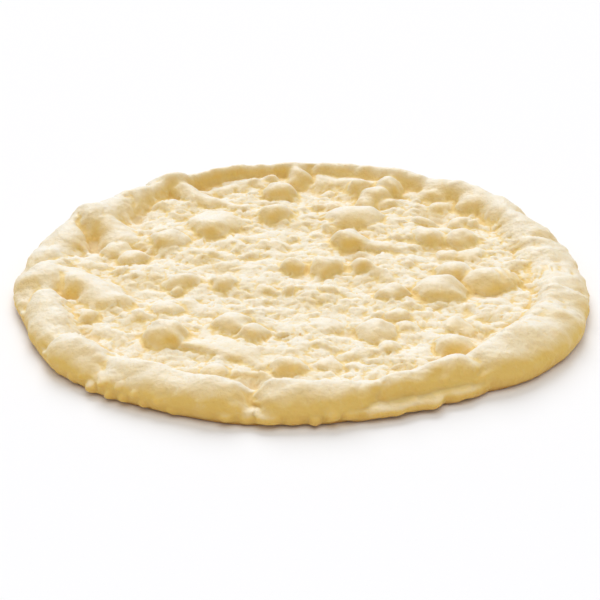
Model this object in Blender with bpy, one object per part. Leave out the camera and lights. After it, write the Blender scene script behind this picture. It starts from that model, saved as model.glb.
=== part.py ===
"""Pizza base: a round of risen dough with a rolled rim and blisters all over its top.

The base is one solid, with +Z up and its origin at the middle of the flat underside.
Lengths below are in millimetres and angles in degrees, anticlockwise from +X.
"""

import math
from typing import NamedTuple

import bmesh
import bpy
import numpy as np

METRE = 0.001  # one millimetre, in Blender's metres

# Driving dimensions
FLOOR_THICKNESS = 8.5  # dough between the underside and the top inside the rim
SIDE_HEIGHT = 6.5  # height at which the rolled rim is widest
UNDERCUT = 3.5  # how far the rim curls in under itself
FOOT_ANGLE = 150.0  # where the rim's roll meets the underside, from its crest
RIM_BLEND = 150.0  # how sharply one stretch of rim gives way to the next
BLISTER_SKIRT = 1.05  # a blister's foot spreads this much wider than the part that shows
BLISTER_SOFTNESS = 0.95  # 1 for a plain dome, less for one with steep sides

# Mesh density
TRIANGLE_SIDE = 4.15
SIDE_RINGS = 8


class RimStation(NamedTuple):
    """The rolled rim at one azimuth."""

    azimuth: float
    radius: float  # centre to the rim's widest point
    inset: float  # widest point back to the crest
    height: float  # underside to the crest
    shoulder: float  # crest back to the foot of the rim's inner slope


RIM = (
    RimStation(0, 151.2, 18, 14.8, 14),
    RimStation(-9, 151.9, 18, 15.2, 12),
    RimStation(-16, 152.0, 19, 16.0, 11),
    RimStation(-24, 152.8, 21, 17.0, 10),
    RimStation(-35, 151.0, 22.5, 18.5, 10),
    RimStation(-47, 148.0, 20.5, 18.0, 10),
    RimStation(-55, 140.0, 12.5, 16.5, 9),
    RimStation(-62, 136.5, 9.5, 16.0, 9),
    RimStation(-69, 135.5, 8.5, 16.0, 9),
    RimStation(-76, 138.0, 9.5, 12.8, 10),
    RimStation(-82, 144.5, 16, 15.5, 10),
    RimStation(-89, 142.0, 15.5, 16.8, 9),
    RimStation(-95, 145.0, 17.5, 17.0, 9),
    RimStation(-104, 147.0, 15.5, 16.5, 11),
    RimStation(-111, 146.0, 16, 16.3, 10),
    RimStation(-120, 147.0, 18, 16.2, 10),
    RimStation(-128, 150.0, 16.5, 14.4, 12),
    RimStation(-134, 149.8, 16, 14.0, 12),
    RimStation(-140, 153.0, 16, 14.2, 12),
    RimStation(-148, 151.4, 14.5, 14.4, 12),
    RimStation(-156, 150.6, 14.5, 15.0, 12),
    RimStation(-164, 150.0, 14, 15.5, 12),
    RimStation(-173, 151.8, 15, 15.5, 14),
    RimStation(180, 151.8, 15, 15.5, 14),
    RimStation(171, 151.3, 14, 15.8, 14),
    RimStation(161, 151.3, 13, 15.5, 16),
    RimStation(152, 151.8, 13, 16.6, 18),
    RimStation(143, 152.0, 14, 17.2, 18),
    RimStation(135, 153.3, 13, 17.2, 14),
    RimStation(128, 152.0, 11, 16.8, 10),
    RimStation(120, 149.5, 7, 16.8, 7.5),
    RimStation(112, 150.0, 6, 17.0, 6.5),
    RimStation(103, 149.5, 5.8, 16.6, 6.5),
    RimStation(95, 150.0, 6.3, 16.4, 7),
    RimStation(87, 151.0, 7.5, 17.0, 8),
    RimStation(79, 153.5, 8, 17.4, 8),
    RimStation(71, 152.0, 9, 17.8, 10),
    RimStation(62, 151.5, 10, 17.8, 12),
    RimStation(55, 151.5, 9, 18.0, 12),
    RimStation(48, 153.0, 8, 18.8, 12),
    RimStation(41, 155.4, 11, 18.0, 13),
    RimStation(34, 155.0, 14, 17.2, 15),
    RimStation(27, 154.2, 16, 16.4, 16),
    RimStation(18, 152.0, 17, 15.2, 16),
    RimStation(9, 150.4, 17.5, 14.7, 15),
)


class Blister(NamedTuple):
    """A gas bubble under the skin: an oval dome that stands on the dough."""

    x: float
    y: float
    half_width: float
    half_depth: float
    height: float


BLISTERS = (
    # front third
    Blister(-67, -71.5, 12.5, 11.5, 9.1),
    Blister(-5.7, -100, 9.5, 9, 5.5),
    Blister(13.6, -97.5, 6.3, 6, 2.6),
    Blister(-40.5, -105, 6.5, 6, 3.9),
    Blister(58.6, -97.5, 3.4, 3.2, 2.1),
    Blister(37, -64.5, 11, 10.5, 5.9),
    Blister(42, -79, 6.5, 6.2, 4.5),
    Blister(28, -89, 6, 4.6, 1.4),
    Blister(57.5, -84.5, 6.2, 5.6, 1.7),
    Blister(75, -82, 10, 9.5, 7.5),
    Blister(78, -57, 9, 8.5, 3.7),
    Blister(48, -47.5, 5.5, 5.2, 4.5),
    Blister(53.5, -58, 5, 4.6, 3),
    Blister(38, -45.5, 3.8, 3.6, 2.2),
    Blister(13, -55.5, 7, 6.5, 2.1),
    Blister(-34.5, -57, 9.5, 9.5, 5.7),
    Blister(-24, -66.5, 6.5, 7, 6.1),
    # left
    Blister(-68, -40, 7.5, 7, 4.8),
    Blister(-56, -32, 5.5, 4, 1.3),
    Blister(-31, -38, 4, 3.6, 2.8),
    Blister(-26, -44, 3.5, 3.3, 3),
    Blister(-63, -8.5, 9, 8.5, 4.8),
    Blister(-64, -18.5, 3.2, 3.2, 3.7),
    Blister(-111, -29, 4.2, 4, 3),
    Blister(-108, -46, 4.6, 5, 4.5),
    Blister(-91, 24, 7.8, 7.2, 5.2),
    Blister(-102, 33, 7.5, 8, 5.7),
    Blister(-96.5, 8, 4.6, 4.6, 4.3),
    Blister(-72.5, 45, 10.5, 10, 5.2),
    # middle
    Blister(-41, -8.5, 7.5, 7.5, 5.2),
    Blister(-5, -18, 4, 4, 3.5),
    Blister(14.3, -21, 4.3, 4, 3.3),
    Blister(-4.5, 11, 6, 6.5, 6.1),
    Blister(13, 9, 8, 8, 7.1),
    Blister(32, 11, 6.5, 7, 7),
    Blister(47, -23.5, 8.8, 8.5, 8),
    Blister(72.5, -18.5, 14.5, 13, 7.1),
    Blister(-27.5, 45, 3.8, 3.5, 2.3),
    Blister(9, 55, 3.2, 3.2, 2.8),
    # right
    Blister(83, 4.5, 10.5, 10, 6.5),
    Blister(98, -3.5, 13, 10, 6.2),
    Blister(101, -30, 8, 6.5, 2.4),
    Blister(85, -35, 3.5, 3.2, 2.4),
    Blister(80, 30, 6, 5.5, 2.3),
    Blister(92, 27, 7, 6.5, 2.9),
    Blister(56.7, 13.5, 3.4, 3.2, 2.6),
    Blister(53.5, 48.5, 3.6, 3.4, 3.7),
    Blister(72, 49.5, 10, 9.5, 5.2),
    Blister(88.5, 45, 9, 9, 6.6),
    Blister(133, 49, 3.8, 3.8, 5.7),
    Blister(140, 49, 3.4, 3.4, 5.2),
    # back third
    Blister(31.3, 77, 17, 14.5, 6.5),
    Blister(27, 44.5, 11, 11, 7.7),
    Blister(-14.5, 80, 9.5, 9.5, 6.1),
    Blister(-12.5, 112, 10.5, 10.5, 6.5),
    Blister(-27, 126, 4, 4, 4.5),
    Blister(-19, 129, 5, 4.5, 5.5),
    Blister(-46, 118, 5, 5, 4.3),
    Blister(-49, 70, 16, 14, 6.1),
    Blister(-50, 60, 10.5, 10, 6.3),
    Blister(10.5, 93, 3.8, 3.6, 3.7),
    Blister(18, 93, 3.8, 3.6, 3.7),
    Blister(15, 115.5, 4, 3.6, 3.3),
    Blister(49, 97, 5.5, 5, 3.9),
    Blister(70, 72, 7.5, 7.5, 5.5),
    Blister(81, 92, 5.5, 5.5, 4.3),
    Blister(90, 72, 6, 5.5, 4.5),
    Blister(99, 68.5, 3.6, 3.5, 3.7),
    Blister(80, 109, 9, 9.5, 7.4),
    Blister(95, 119, 6, 6, 4.2),
    Blister(102, 94, 12, 11, 7),
    Blister(-2.5, 135, 8, 12, 7.8),
    Blister(5, 147, 5, 5, 8.7),
    Blister(18.5, 127, 4.2, 4.5, 4.6),
    Blister(25.5, 127.5, 4.5, 5, 5.5),
    Blister(34.5, 118, 6, 8, 7.8),
    Blister(42, 105, 7, 7.5, 7.4),
    Blister(53, 117, 9.5, 10, 8.7),
)


class Fold(NamedTuple):
    """A soft ridge (heights above 0) or a crease (below 0) that follows a line."""

    line: tuple  # (x, y) points
    start: float  # height at the first point
    end: float  # height at the last point
    left: float  # reach of the slope on the left of the line, walking along it
    right: float


FOLDS = (
    # the tongue of rim that is folded in at the back left, and the ridge that follows it
    Fold(((-92, 121), (-83, 122), (-75, 117), (-67, 110), (-60, 104), (-54, 100)), 9, 3, 9, 8.5),
    Fold(((-49, 101), (-42, 96), (-35, 91)), 2.6, 1.2, 6, 3.5),
    # the long scarp that trails from the large blister at the front left
    Fold(((-57, -81), (-49, -83), (-42, -85.5), (-34, -89), (-26, -92), (-18, -94)), 4.2, 1.2, 17, 3.4),
    # two pillows that swell inwards from the rim on the left
    Fold(((-146, -14), (-136, -5), (-124, -6), (-115, -12), (-106, -20), (-99, -29)), 8, 4, 15, 13),
    Fold(((-126, 77), (-117, 69), (-109, 59), (-103, 46)), 8.5, 4.5, 13, 10),
    # the tails of two blisters right of the middle, and a ridge at the back right
    Fold(((30, 38), (42, 34), (54, 33)), 3.6, 1.6, 13, 3.8),
    Fold(((33, 10), (40, 3), (46, -3)), 4.2, 1.2, 5, 5),
    Fold(((38, 97), (44, 106), (50, 116), (58, 125)), 5.5, 4, 7, 9),
    # creases between the pillows of the rim, on towards the outer edge
    Fold(((-21, -113), (-22.5, -128), (-23, -146)), -4.5, -7.5, 7, 13),
    Fold(((-90, -93), (-96, -104), (-104, -117)), -2, -3.5, 6, 8),
    Fold(((-108, -66), (-115, -71), (-122, -77), (-130, -84)), -2, -4, 4, 9),
    Fold(((-121, -27), (-128, -20), (-134, -22), (-140, -28), (-148, -39)), -2.5, -4, 4, 8),
    Fold(((-128, -8), (-124, -19)), -2.2, -1.2, 5, 5),
    Fold(((-120, 27), (-128, 20), (-134, 14), (-141, 8), (-152, 5)), -3, -4, 5, 11),
    Fold(((-112, 33), (-117, 41), (-121, 50), (-126, 62)), -5, -4, 4.5, 9),
    Fold(((-86, 62), (-92, 73), (-95, 83), (-100, 96)), -2.5, -2, 5, 9),
    Fold(((-84, 104), (-91, 114), (-97, 123)), -2.5, -1.5, 5, 6),
    Fold(((-58, 122), (-66, 127), (-73, 131)), -2.5, -1.5, 5, 5),
    Fold(((6, 128), (6.5, 138), (7, 143)), -2, -3, 4, 4),
    Fold(((110, 69), (120, 72), (132, 77)), -1.5, -1.5, 8, 5),
    Fold(((124, 40), (134, 41), (148, 43)), -2.5, -2.5, 6, 4),
    Fold(((116, 31), (126, 31), (136, 26)), -1.5, -1.5, 6, 5),
    Fold(((122, -20), (134, -22), (148, -24)), -1.5, -2, 8, 4),
    Fold(((73, -92), (80, -99), (84, -105), (88, -113)), -2, -3, 6, 6),
    Fold(((33, -113), (37, -126), (39, -140)), -1.5, -2.5, 5, 8),
)


class Lip(NamedTuple):
    """A ledge of dough that sticks out near the foot of one stretch of the rim."""

    start: float  # azimuth
    end: float
    level: float  # height of its middle
    rise: float  # half its thickness
    push: float  # how far it sticks out


LIP = Lip(start=-81.0, end=-50.0, level=3.0, rise=3.7, push=6.4)


class Scatter(NamedTuple):
    """Small bubbles strewn between the named ones."""

    count: int
    least_radius: float
    most_radius: float
    plumpness: float  # height over radius
    seed: int


SMALL_BUBBLES = Scatter(count=240, least_radius=4.0, most_radius=7.0, plumpness=0.24, seed=11)


def waves(points, wavelength, seed, count=16):
    """A smooth random field at the points, with a spread of about 1."""
    draw = np.random.default_rng(seed)
    ways = draw.normal(size=(count, points.shape[1]))
    ways /= np.linalg.norm(ways, axis=1, keepdims=True)
    pitch = 2 * math.pi / (wavelength * draw.uniform(0.7, 1.5, count))
    phase = draw.uniform(0, 2 * math.pi, count)
    return np.sin(points @ (ways.T * pitch) + phase).sum(axis=1) / math.sqrt(count / 2)


def rim_at(azimuth):
    """Radius, inset, height and shoulder of the rim, for an array of azimuths in radians."""
    stations = np.array(RIM)
    nearness = np.exp(RIM_BLEND * (np.cos(azimuth[:, None] - np.radians(stations[:, 0])) - 1))
    return (nearness @ stations[:, 1:] / nearness.sum(axis=1, keepdims=True)).T


def dome(distance, steepness=1.0):
    """1 at the middle, falling to 0 at a distance of 1."""
    return np.clip(1 - distance**2, 0, None) ** steepness


def fused(heights, sharpness=3.0):
    """One height from several that overlap: about the greatest, with a soft join."""
    return sum(height**sharpness for height in heights) ** (1 / sharpness)


def along(line, plan):
    """How far each plan point is from a line of points, on its left or right, and its place from 0 to 1."""
    ends = np.array(line, float)
    steps = np.linalg.norm(np.diff(ends, axis=0), axis=1)
    walked = np.concatenate([[0], np.cumsum(steps)])
    nearest = np.full(len(plan), np.inf)
    side = np.zeros(len(plan))
    place = np.zeros(len(plan))
    for number, step in enumerate(steps):
        start, way = ends[number], (ends[number + 1] - ends[number]) / step
        local = plan - start
        run = np.clip(local @ way, 0, step)
        apart = np.linalg.norm(local - run[:, None] * way, axis=1)
        closer = apart < nearest
        nearest[closer] = apart[closer]
        side[closer] = (way[0] * local[:, 1] - way[1] * local[:, 0])[closer]
        place[closer] = ((walked[number] + run) / walked[-1])[closer]
    return nearest, side, place


def fold_relief(plan):
    """(ridges, creases) at the plan points: heights of the ridges, and depths of the creases."""
    ridges, creases = [], []
    for fold in FOLDS:
        apart, side, place = along(fold.line, plan)
        near = apart / np.where(side > 0, fold.left, fold.right)
        height = fold.start + (fold.end - fold.start) * place
        if fold.start > 0:
            ridges.append(height * dome(near))
        else:
            creases.append(-height / (1 + (1.4 * near) ** 2) ** 1.5)
    return fused(ridges), fused(creases)


def blister_relief(plan):
    """The height of the named blisters at the plan points, each fused with its neighbours."""
    heights = []
    for blister in BLISTERS:
        half = np.array((blister.half_width, blister.half_depth)) * BLISTER_SKIRT
        distance = np.linalg.norm((plan - (blister.x, blister.y)) / half, axis=1)
        heights.append(blister.height * dome(distance, BLISTER_SOFTNESS))
    return fused(heights)


def bubble_relief(plan, scatter, reach):
    """The height of the scattered bubbles, which lie inside a circle of this reach."""
    draw = np.random.default_rng(scatter.seed)
    heights = []
    for _ in range(scatter.count):
        turn, out = draw.uniform(0, 2 * math.pi), reach * math.sqrt(draw.uniform())
        radius = scatter.least_radius + (scatter.most_radius - scatter.least_radius) * draw.uniform() ** 2
        stretch = draw.uniform(0.8, 1.25)
        local = plan - (out * math.cos(turn), out * math.sin(turn))
        distance = np.hypot(local[:, 0] / stretch, local[:, 1] * stretch) / radius
        heights.append(scatter.plumpness * radius * draw.uniform(0.5, 1.0) * dome(distance))
    return fused(heights)


def lip_push(solid):
    """How the lip pushes the side of the rim outwards, level, at the points of the plain form."""
    azimuth = np.degrees(np.arctan2(solid[:, 1], solid[:, 0]))
    turn = np.clip((azimuth - LIP.start) / (LIP.end - LIP.start), 0, 1)
    push = LIP.push * np.sin(turn * math.pi) ** 0.4 * dome((solid[:, 2] - LIP.level) / LIP.rise, 0.45)
    outward = solid * (1, 1, 0)
    return outward * (push / np.linalg.norm(outward, axis=1))[:, None]


def relief(plan, solid, rise):
    """How far the skin stands out from the plain form.

    plan is the unrolled place of each point, solid its place in space and rise how far the plain
    form stands there above the floor inside the rim.
    """
    warped = plan + 0.8 * np.column_stack([waves(plan, 22, 1), waves(plan, 22, 2)])
    ridges, creases = fold_relief(warped)
    named = blister_relief(warped)
    bubbles = bubble_relief(warped, SMALL_BUBBLES, reach=132) * np.exp(-named / 2.0)
    swell = 0.75 * waves(solid, 34, 5) + 0.35 * waves(solid, 15, 6)
    return fused([rise, named, ridges, bubbles]) - rise - creases + swell


def ring_of(azimuth, place):
    """One ring of the plain form: its points, outward directions, unrolled plan and rise.

    place runs from 0 at the middle to 1 at the rim's crest, and on to 2 where the roll meets the underside.
    """
    radius, inset, height, shoulder = rim_at(azimuth)
    crest = radius - inset
    rise = height - FLOOR_THICKNESS
    out = np.column_stack([np.cos(azimuth), np.sin(azimuth)])
    if place <= 1:
        reach = crest * place
        slope = np.clip((reach - (crest - shoulder)) / shoulder, 0, 1)
        rise = rise * np.sin(slope * math.pi / 2) ** 1.15
        solid = np.column_stack([reach[:, None] * out, FLOOR_THICKNESS + rise])
        facing = np.tile((0.0, 0.0, 1.0), (len(azimuth), 1))
        return solid, facing, reach[:, None] * out, rise
    turned = math.radians(FOOT_ANGLE) * (place - 1)
    if turned <= math.pi / 2:
        reach = crest + inset * math.sin(turned) ** 1.05
        level = SIDE_HEIGHT + (height - SIDE_HEIGHT) * math.cos(turned) ** 0.92
    else:
        tuck = (1 - math.sin(turned)) / (1 - math.sin(math.radians(FOOT_ANGLE)))
        reach = radius - UNDERCUT * tuck
        level = SIDE_HEIGHT * (1 - math.cos(turned) / math.cos(math.radians(FOOT_ANGLE))) + 0 * reach
    solid = np.column_stack([reach[:, None] * out, level])
    facing = np.column_stack([math.sin(turned) * out, np.full(len(azimuth), math.cos(turned))])
    unrolled = crest + turned * (inset + height) / 2
    return solid, facing, unrolled[:, None] * out, rise


def ring_count(azimuth_steps, place, side):
    """How many points a ring takes for triangles with this side."""
    azimuth = np.linspace(0, 2 * math.pi, azimuth_steps, endpoint=False)
    solid = ring_of(azimuth, place)[0]
    length = np.linalg.norm(np.diff(solid, axis=0, append=solid[:1]), axis=1).sum()
    return max(6, round(length / side))


def skin_rings(side, side_rings):
    """The rings of finished points, from the middle of the top to the edge of the underside."""
    inner = round(130 / (side * math.sqrt(3) / 2))
    places = [step / inner for step in range(1, inner + 1)]
    places += [1 + step / side_rings for step in range(1, side_rings + 1)]
    rings = []
    for number, place in enumerate(places):
        count = ring_count(180, place, side)
        azimuth = 2 * math.pi * (np.arange(count) + 0.5 * (number % 2)) / count
        solid, facing, plan, rise = ring_of(azimuth, place)
        standing = relief(plan, solid, rise)
        push = 0
        if place > 1:
            standing *= 1 - (place - 1) ** 3  # the skin is pressed flat towards the underside
            push = lip_push(solid)
        solid = solid + facing * standing[:, None] + push
        if place == places[-1]:
            solid[:, 2] = 0.0
        rings.append((azimuth, solid))
    return rings


def stitch(mesh, inner, outer):
    """Triangles between two rings, each a list of (azimuth, vertex), anticlockwise and facing up."""
    a, b = 0, 0
    while a < len(inner) or b < len(outer):
        turn_a = inner[(a + 1) % len(inner)][0] + (2 * math.pi if a + 1 >= len(inner) else 0)
        turn_b = outer[(b + 1) % len(outer)][0] + (2 * math.pi if b + 1 >= len(outer) else 0)
        here, there = inner[a % len(inner)][1], outer[b % len(outer)][1]
        if b >= len(outer) or (a < len(inner) and turn_a < turn_b):
            mesh.faces.new((here, there, inner[(a + 1) % len(inner)][1]))
            a += 1
        else:
            mesh.faces.new((here, there, outer[(b + 1) % len(outer)][1]))
            b += 1


def dough_mesh(name, side, side_rings):
    """The whole skin as one closed mesh, in metres."""
    rings = skin_rings(side, side_rings)
    low, high = rings[0][1].min(axis=0), rings[0][1].max(axis=0)
    for _, solid in rings:
        low, high = np.minimum(low, solid.min(axis=0)), np.maximum(high, solid.max(axis=0))
    shift = np.array(((low[0] + high[0]) / 2, (low[1] + high[1]) / 2, 0))
    mesh = bmesh.new()
    middle = np.zeros((1, 2))
    top = FLOOR_THICKNESS + relief(middle, np.array([[0, 0, FLOOR_THICKNESS]]), np.zeros(1))[0]
    centre = mesh.verts.new((np.array((0, 0, top)) - shift) * METRE)
    previous = None
    for azimuth, solid in rings:
        ring = [(turn, mesh.verts.new((point - shift) * METRE)) for turn, point in zip(azimuth, solid)]
        if previous is None:
            for here, there in zip(ring, ring[1:] + ring[:1]):
                mesh.faces.new((centre, here[1], there[1]))
        else:
            stitch(mesh, previous, ring)
        previous = ring
    mesh.faces.new([vertex for _, vertex in reversed(previous)])
    data = bpy.data.meshes.new(name)
    mesh.to_mesh(data)
    mesh.free()
    return data


def baked_dough():
    """Pale, barely baked dough with a dry skin."""
    material = bpy.data.materials.new("baked_dough")
    material.use_nodes = True
    shader = material.node_tree.nodes["Principled BSDF"]
    shader.inputs["Base Color"].default_value = (0.89, 0.76, 0.50, 1)
    shader.inputs["Roughness"].default_value = 0.6
    shader.inputs["Metallic"].default_value = 0.0
    return material


def clear_scene():
    for thing in list(bpy.data.objects):
        bpy.data.objects.remove(thing)


def main():
    clear_scene()
    data = dough_mesh("dough", TRIANGLE_SIDE, SIDE_RINGS)
    data.materials.append(baked_dough())
    dough = bpy.data.objects.new("dough", data)
    bpy.context.scene.collection.objects.link(dough)
    data.shade_smooth()


main()
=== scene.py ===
# Pizza base: a round of pale, barely baked dough with a rolled rim, on a plain pale floor.
# Lengths in the dictionaries are millimetres, or metres where mm is written after them.
# Angles are degrees, anticlockwise from +X.

import math

import bpy
import numpy as np
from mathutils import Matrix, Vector


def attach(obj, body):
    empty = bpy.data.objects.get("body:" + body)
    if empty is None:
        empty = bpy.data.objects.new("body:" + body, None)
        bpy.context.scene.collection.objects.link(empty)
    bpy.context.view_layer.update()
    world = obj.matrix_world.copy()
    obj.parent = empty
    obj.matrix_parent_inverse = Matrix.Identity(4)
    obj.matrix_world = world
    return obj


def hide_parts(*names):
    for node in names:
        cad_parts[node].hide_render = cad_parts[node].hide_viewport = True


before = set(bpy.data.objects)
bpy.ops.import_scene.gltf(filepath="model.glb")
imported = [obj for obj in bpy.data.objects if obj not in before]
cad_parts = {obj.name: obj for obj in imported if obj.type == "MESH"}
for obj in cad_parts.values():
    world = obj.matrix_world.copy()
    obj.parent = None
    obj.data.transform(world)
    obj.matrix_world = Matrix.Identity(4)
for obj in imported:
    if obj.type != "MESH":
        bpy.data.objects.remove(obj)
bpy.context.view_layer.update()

mm = 0.001
print("frame loaded")


# ---- the studio

studio = {
    "floorColour": (0.96, 0.96, 0.96, 1),
    "skyColour": (1.0, 0.955, 0.90, 1),
    "skyStrength": 0.41,
    "sunColour": (0.975, 1.0, 1.055),
    "sunStrength": 1.97,
    "sunSpread": 40.0,  # degrees across
    "sunHeight": 39.0,  # degrees above the horizon
    "sunAzimuth": 97.0,  # behind the dough
    "fillStrength": 0.79,
    "fillSpread": 60.0,
    "fillHeight": 76.0,
    "fillAzimuth": -75.0,  # a little in front of it
    "eye": (0.4, -785.45, 381.38),
    "aim": (-0.1, -14.8, 0.0),
    "lens": 97.68,
}


# ---- the dough's form: the CAD solid's main forms, with finer wrinkles, knobs and bubbles

dough = {
    "floor": 8.5,  # underside to the top inside the rim
    "sideHeight": 6.5,  # where the rolled rim is widest
    "undercut": 3.5,  # how far the rim curls in under itself
    "footAngle": 150.0,  # where the roll meets the underside, from its crest
    "rimBlend": 150.0,  # how sharply one stretch of rim gives way to the next
    "innerPower": 1.15,  # how the rim rises from inside
    "outerPower": 1.05,  # how it widens beyond its crest
    "fallPower": 1.2,  # and how it falls there
    "crestReach": 130.0,  # about how far out the crest is
    "blisterSkirt": 1.04,
    "blisterSoftness": 0.7,
    "blisterApron": 0.16,  # height of the soft foot round a blister, against its own height
    "apronReach": 1.4,  # and its width against the blister's
    "creaseSharpness": 1.4,
    "onRim": (1.2, 4.8),  # the rise above the inside over which it counts as rim
    "onCrest": (0.5, 0.95),  # share of the rim's own rise over which its crest begins
    "crestEnd": 0.06,  # place on the side where the crest ends
    "bareFade": 1.2,  # height of blisters and ridges by which the bare dough has mostly given way
    "spacing": 1.08,  # between points on the top and the side
    "sideRings": 31,
    "soleSpacing": 3.2,  # between points on the underside
    "shift": (0.4, -3.5),  # from the rim's own centre to the middle of its box
}

# azimuth, radius, widest point back to the crest, height of the crest, crest back to the inner foot
rim = (
    (0, 151.2, 18, 14.8, 14),
    (-9, 151.9, 18, 15.2, 12),
    (-16, 152.0, 19, 16.0, 11),
    (-24, 153.6, 21.5, 17.0, 10),
    (-35, 152.6, 23.5, 18.5, 10),
    (-47, 149.2, 21.5, 18.0, 10),
    (-55, 140.0, 12.5, 16.5, 9),
    (-62, 136.5, 9.5, 16.0, 9),
    (-69, 135.5, 8.5, 16.0, 9),
    (-76, 138.0, 9.5, 12.8, 10),
    (-82, 144.5, 16, 15.5, 10),
    (-89, 142.0, 15.5, 16.8, 9),
    (-95, 145.0, 17.5, 17.0, 9),
    (-104, 147.0, 15.5, 16.5, 11),
    (-111, 146.0, 16, 16.3, 10),
    (-120, 147.0, 18, 16.2, 10),
    (-128, 150.0, 16.5, 14.4, 12),
    (-134, 149.8, 16, 14.0, 12),
    (-140, 153.0, 16, 14.2, 12),
    (-148, 150.4, 13.5, 14.4, 12),
    (-156, 149.0, 13.5, 15.0, 12),
    (-164, 150.0, 14, 15.5, 12),
    (-173, 151.8, 15, 15.5, 14),
    (180, 151.8, 15, 15.5, 14),
    (171, 151.3, 14, 15.8, 14),
    (161, 151.3, 13, 15.5, 16),
    (152, 151.8, 13, 16.6, 18),
    (143, 152.0, 14, 17.2, 18),
    (135, 153.3, 13, 17.2, 14),
    (128, 152.0, 11, 16.8, 10),
    (120, 149.5, 7, 16.8, 7.5),
    (112, 150.0, 6, 17.0, 6.5),
    (103, 149.5, 5.8, 16.6, 6.5),
    (95, 150.0, 6.3, 16.4, 7),
    (87, 151.0, 7.5, 17.0, 8),
    (79, 153.5, 8, 17.4, 8),
    (71, 152.0, 9, 17.8, 10),
    (62, 151.5, 10, 17.8, 12),
    (55, 151.5, 9, 18.0, 12),
    (48, 153.0, 8, 18.8, 12),
    (41, 155.4, 11, 18.0, 13),
    (34, 155.0, 14, 17.2, 15),
    (27, 154.2, 16, 16.4, 16),
    (18, 152.0, 17, 15.2, 16),
    (9, 150.4, 17.5, 14.7, 15),
)

# x, y, half width, half depth, height
blisters = {
    "front": (
        (-67, -71.5, 12.5, 11.5, 9.1),
        (-5.7, -100, 9.7, 9.2, 5.3),
        (13.6, -97.5, 7, 6.7, 2.1),
        (-40.5, -105, 7.2, 6.6, 3.1),
        (58.6, -97.5, 3.9, 3.7, 1.5),
        (37, -64.5, 11, 10.5, 5.9),
        (42, -79, 7.2, 6.9, 3.6),
        (28, -89, 6.7, 5.2, 1.1),
        (57.5, -84.5, 6.9, 6.2, 1.3),
        (75, -82, 10.1, 9.6, 7.4),
        (78, -57, 9.3, 8.8, 3.5),
        (48, -47.5, 6.2, 5.9, 3.4),
        (53.5, -58, 5.7, 5.3, 2.2),
        (38, -45.5, 4.4, 4.1, 1.6),
        (13, -55.5, 7.6, 7.1, 1.7),
        (-34.5, -57, 9.7, 9.7, 5.5),
        (-24, -66.5, 7.2, 7.7, 4.9),
    ),
    "left": (
        (-68, -40, 8.1, 7.5, 4.1),
        (-56, -32, 6.2, 4.5, 1),
        (-31, -38, 4.6, 4.1, 2),
        (-26, -44, 4, 3.8, 2.2),
        (-63, -8.5, 9.3, 8.8, 4.5),
        (-64, -18.5, 3.7, 3.7, 2.7),
        (-111, -29, 4.8, 4.6, 2.2),
        (-108, -46, 5.3, 5.7, 3.3),
        (-91, 24, 8.3, 7.7, 4.6),
        (-102, 33, 8.1, 8.6, 4.9),
        (-96.5, 8, 5.3, 5.3, 3.1),
        (-72.5, 45, 10.5, 10, 5.2),
    ),
    "middle": (
        (-41, -8.5, 8.1, 8.1, 4.5),
        (-5, -18, 4.6, 4.6, 2.5),
        (14.3, -21, 4.9, 4.6, 2.4),
        (-4.5, 11, 6.7, 7.3, 4.7),
        (13, 9, 8.5, 8.5, 6.3),
        (32, 11, 7.2, 7.7, 5.6),
        (47, -23.5, 9.1, 8.8, 7.5),
        (72.5, -18.5, 14.5, 13, 7.1),
        (-27.5, 45, 4.4, 4, 1.7),
        (9, 55, 3.7, 3.7, 2),
    ),
    "right": (
        (83, 4.5, 10.5, 10, 6.5),
        (101, -6, 16, 12.5, 6.0),
        (101, -30, 8.5, 6.9, 2.1),
        (85, -35, 4, 3.7, 1.7),
        (80, 30, 6.7, 6.2, 1.8),
        (92, 27, 7.6, 7.1, 2.4),
        (56.7, 13.5, 3.9, 3.7, 1.9),
        (53.5, 48.5, 4.1, 3.9, 2.7),
        (72, 49.5, 10.1, 9.6, 5.1),
        (88.5, 45, 9.3, 9.3, 6.2),
        (133, 49, 4.4, 4.4, 4.1),
        (140, 49, 3.9, 3.9, 3.7),
    ),
    "back": (
        (31.3, 77, 17, 14.5, 6.5),
        (27, 44.5, 11, 11, 7.7),
        (-14.5, 80, 9.7, 9.7, 5.9),
        (-12.5, 112, 10.5, 10.5, 6.5),
        (-27, 126, 4.2, 4, 3.6),
        (-19, 129, 5.2, 4.6, 4.8),
        (-12.5, 125, 3.6, 3.4, 2.6),
        (60, 131, 7, 5, 4.2),
        (22, 139, 7.5, 4.6, 5.5),
        (40, 136, 6.5, 4.4, 5),
        (70, 122, 6, 5, 4),
        (-46, 118, 5.7, 5.7, 3.2),
        (-49, 70, 16, 14, 6.1),
        (-50, 60, 10.5, 10, 6.3),
        (10.5, 93, 4.4, 4.1, 2.7),
        (18, 93, 4.4, 4.1, 2.7),
        (15, 115.5, 4.6, 4.1, 2.4),
        (49, 97, 6.2, 5.7, 2.9),
        (70, 72, 8.1, 8.1, 4.7),
        (81, 92, 6.2, 6.2, 3.2),
        (90, 72, 6.7, 6.2, 3.5),
        (99, 68.5, 4.1, 4, 2.7),
        (80, 109, 9.3, 9.8, 7),
        (95, 119, 6.7, 6.7, 3.3),
        (102, 94, 12, 11, 7),
        (-2.5, 135, 8.5, 12.7, 6.9),
        (5, 147, 5.7, 5.7, 6.4),
        (18.5, 127, 4.8, 5.2, 3.3),
        (25.5, 127.5, 5.2, 5.7, 4),
        (34.5, 118, 6.7, 9, 6),
        (42, 105, 7.6, 8.2, 6.1),
        (53, 117, 9.7, 10.2, 8.4),
    ),
}

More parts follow.
